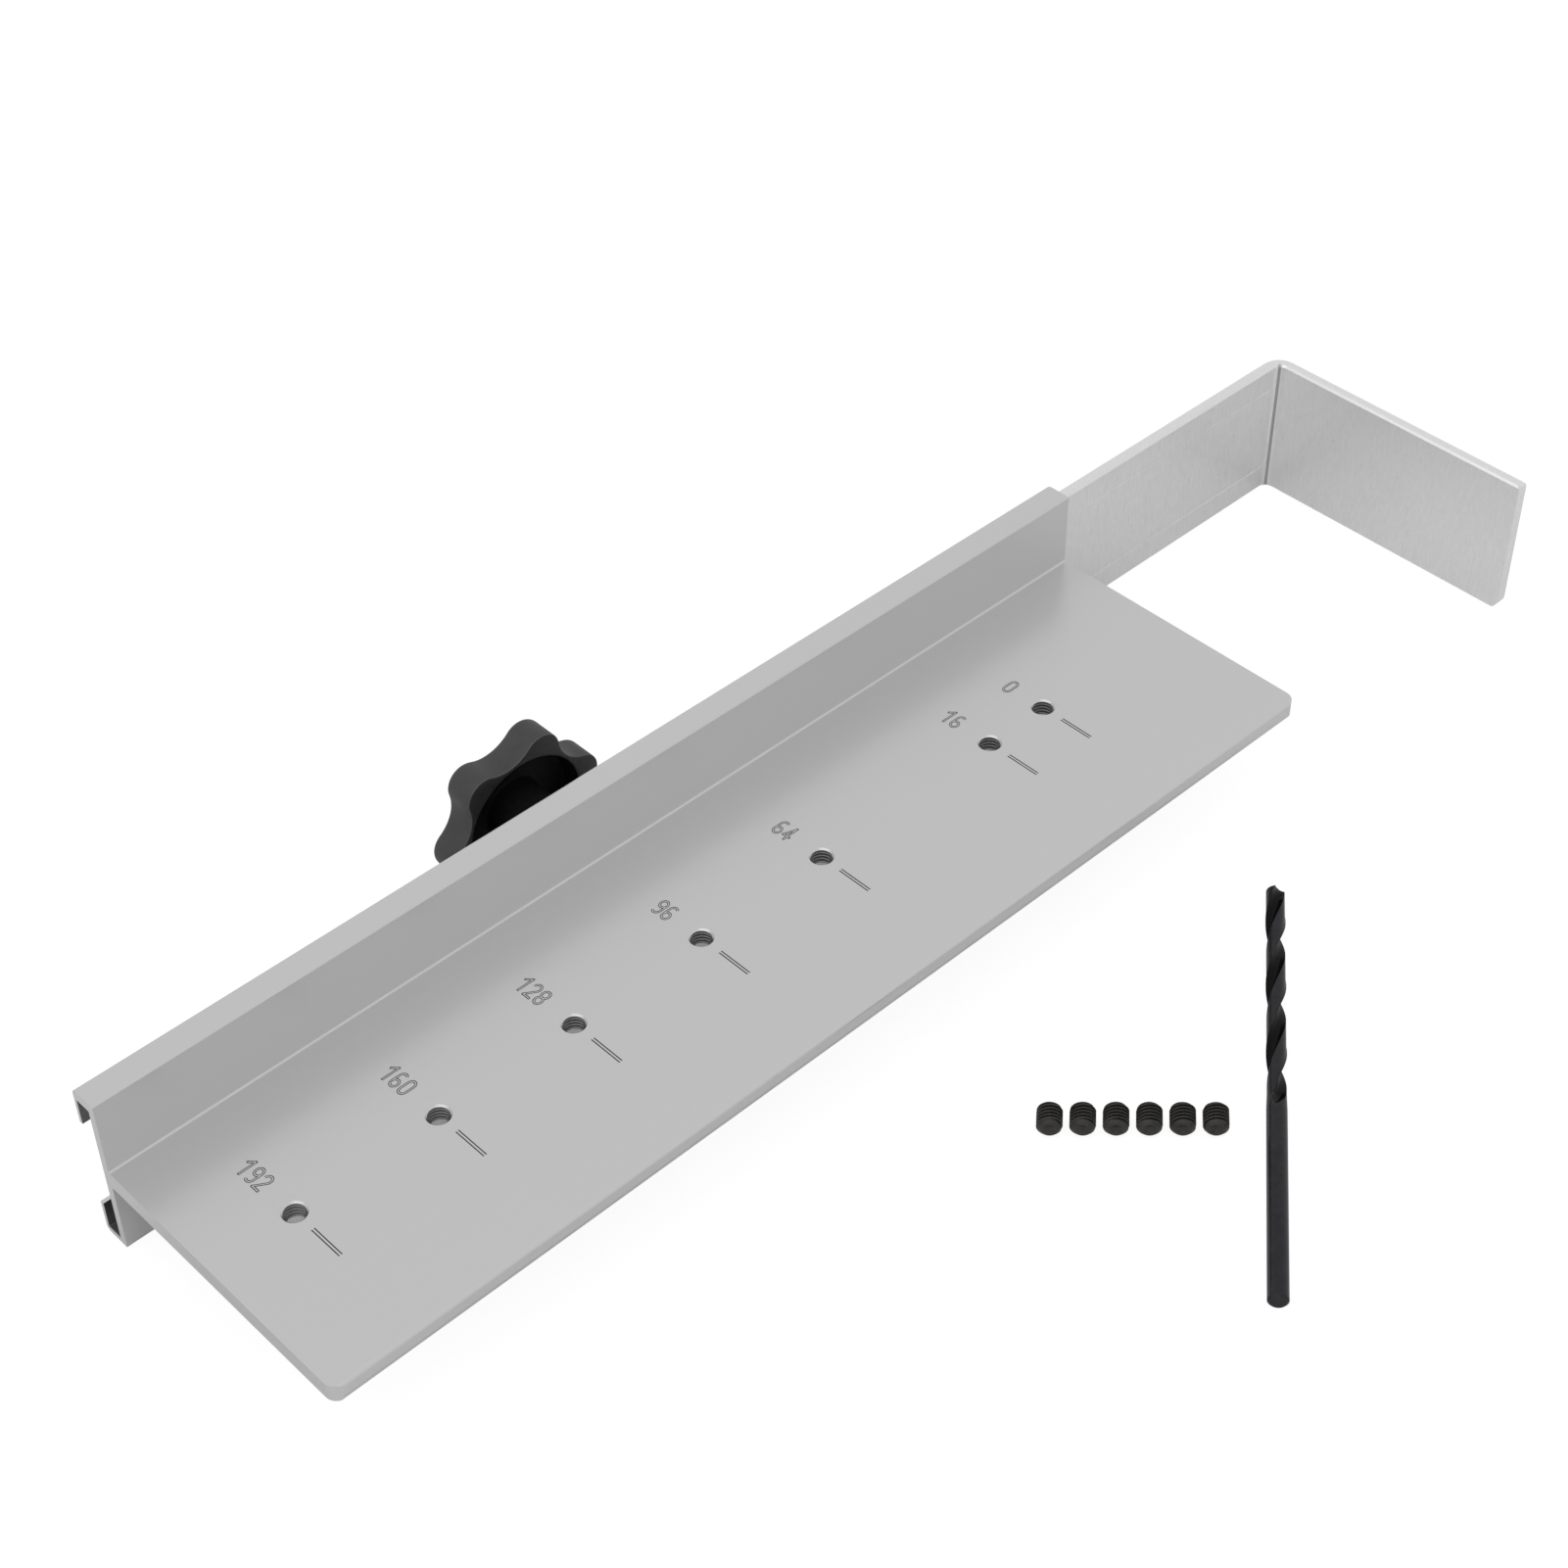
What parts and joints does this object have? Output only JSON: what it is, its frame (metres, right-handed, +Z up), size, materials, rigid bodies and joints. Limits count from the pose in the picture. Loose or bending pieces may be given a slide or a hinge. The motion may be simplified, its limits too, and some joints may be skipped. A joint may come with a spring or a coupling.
{
  "type": "cabinet handle jig",
  "caption": "Cabinet handle drilling jig: fenced aluminium rail with a numbered row of tapped guide holes, a knob-clamped sliding stop and its loose drilling set.",
  "frame": {"origin": "centre of guide hole 0, at half the plate's thickness", "axes": "+X along the rail from hole 192 towards the stop leg, +Y from the hole row to the fence wall, +Z up out of the plate's numbered face"},
  "size_m": [0.3279, 0.1846, 0.0382],
  "materials": {
    "rail": "satin anodised",
    "stop_bar": "brushed",
    "clamp_stud": "bright zinc",
    "clamp_washer": "bright zinc",
    "knob": "fine moulded grain",
    "knob_insert": "machined",
    "drill_bit": "black oxide",
    "grub_screw": "black oxide"
  },
  "bodies": {
    "rail": {"rail": "rail"},
    "slider": {"stop_bar": "stop_bar", "clamp_stud": "clamp_stud"},
    "washer": {"clamp_washer": "clamp_washer"},
    "knob": {"knob": "knob", "knob_insert": "knob_insert"},
    "drill_bit": {"drill_bit": "drill_bit"},
    "grub_screw_1": {"grub_screw_1": "grub_screw"},
    "grub_screw_2": {"grub_screw_2": "grub_screw"},
    "grub_screw_3": {"grub_screw_3": "grub_screw"},
    "grub_screw_4": {"grub_screw_4": "grub_screw"},
    "grub_screw_5": {"grub_screw_5": "grub_screw"},
    "grub_screw_6": {"grub_screw_6": "grub_screw"}
  },
  "joints": [
    {"name": "stop_slide", "type": "slide", "parent": "rail", "child": "slider", "axis": [1, 0, 0], "range_m": [-0.0745, 0.11]},
    {"name": "clamp_lift", "type": "slide", "parent": "slider", "child": "washer", "axis": [0, 1, 0], "range_m": [0, 0.002]},
    {"name": "knob_turn", "type": "hinge", "parent": "washer", "child": "knob", "pos_m": [-0.09655, 0.038, -0.00032], "axis": [0, 1, 0], "range_deg": [0, 721]},
    {"name": "drill_bit_lift", "type": "slide", "parent": "rail", "child": "drill_bit", "axis": [0, 0, 1], "range_m": [0, 0.04]},
    {"name": "grub_screw_1_lift", "type": "slide", "parent": "rail", "child": "grub_screw_1", "axis": [0, 0, 1], "range_m": [0, 0.04]},
    {"name": "grub_screw_2_lift", "type": "slide", "parent": "rail", "child": "grub_screw_2", "axis": [0, 0, 1], "range_m": [0, 0.04]},
    {"name": "grub_screw_3_lift", "type": "slide", "parent": "rail", "child": "grub_screw_3", "axis": [0, 0, 1], "range_m": [0, 0.04]},
    {"name": "grub_screw_4_lift", "type": "slide", "parent": "rail", "child": "grub_screw_4", "axis": [0, 0, 1], "range_m": [0, 0.04]},
    {"name": "grub_screw_5_lift", "type": "slide", "parent": "rail", "child": "grub_screw_5", "axis": [0, 0, 1], "range_m": [0, 0.04]},
    {"name": "grub_screw_6_lift", "type": "slide", "parent": "rail", "child": "grub_screw_6", "axis": [0, 0, 1], "range_m": [0, 0.04]}
  ],
  "couplings": [
    {"joint": "knob_turn", "follows": "clamp_lift", "rad_per_m": 6283.2}
  ]
}
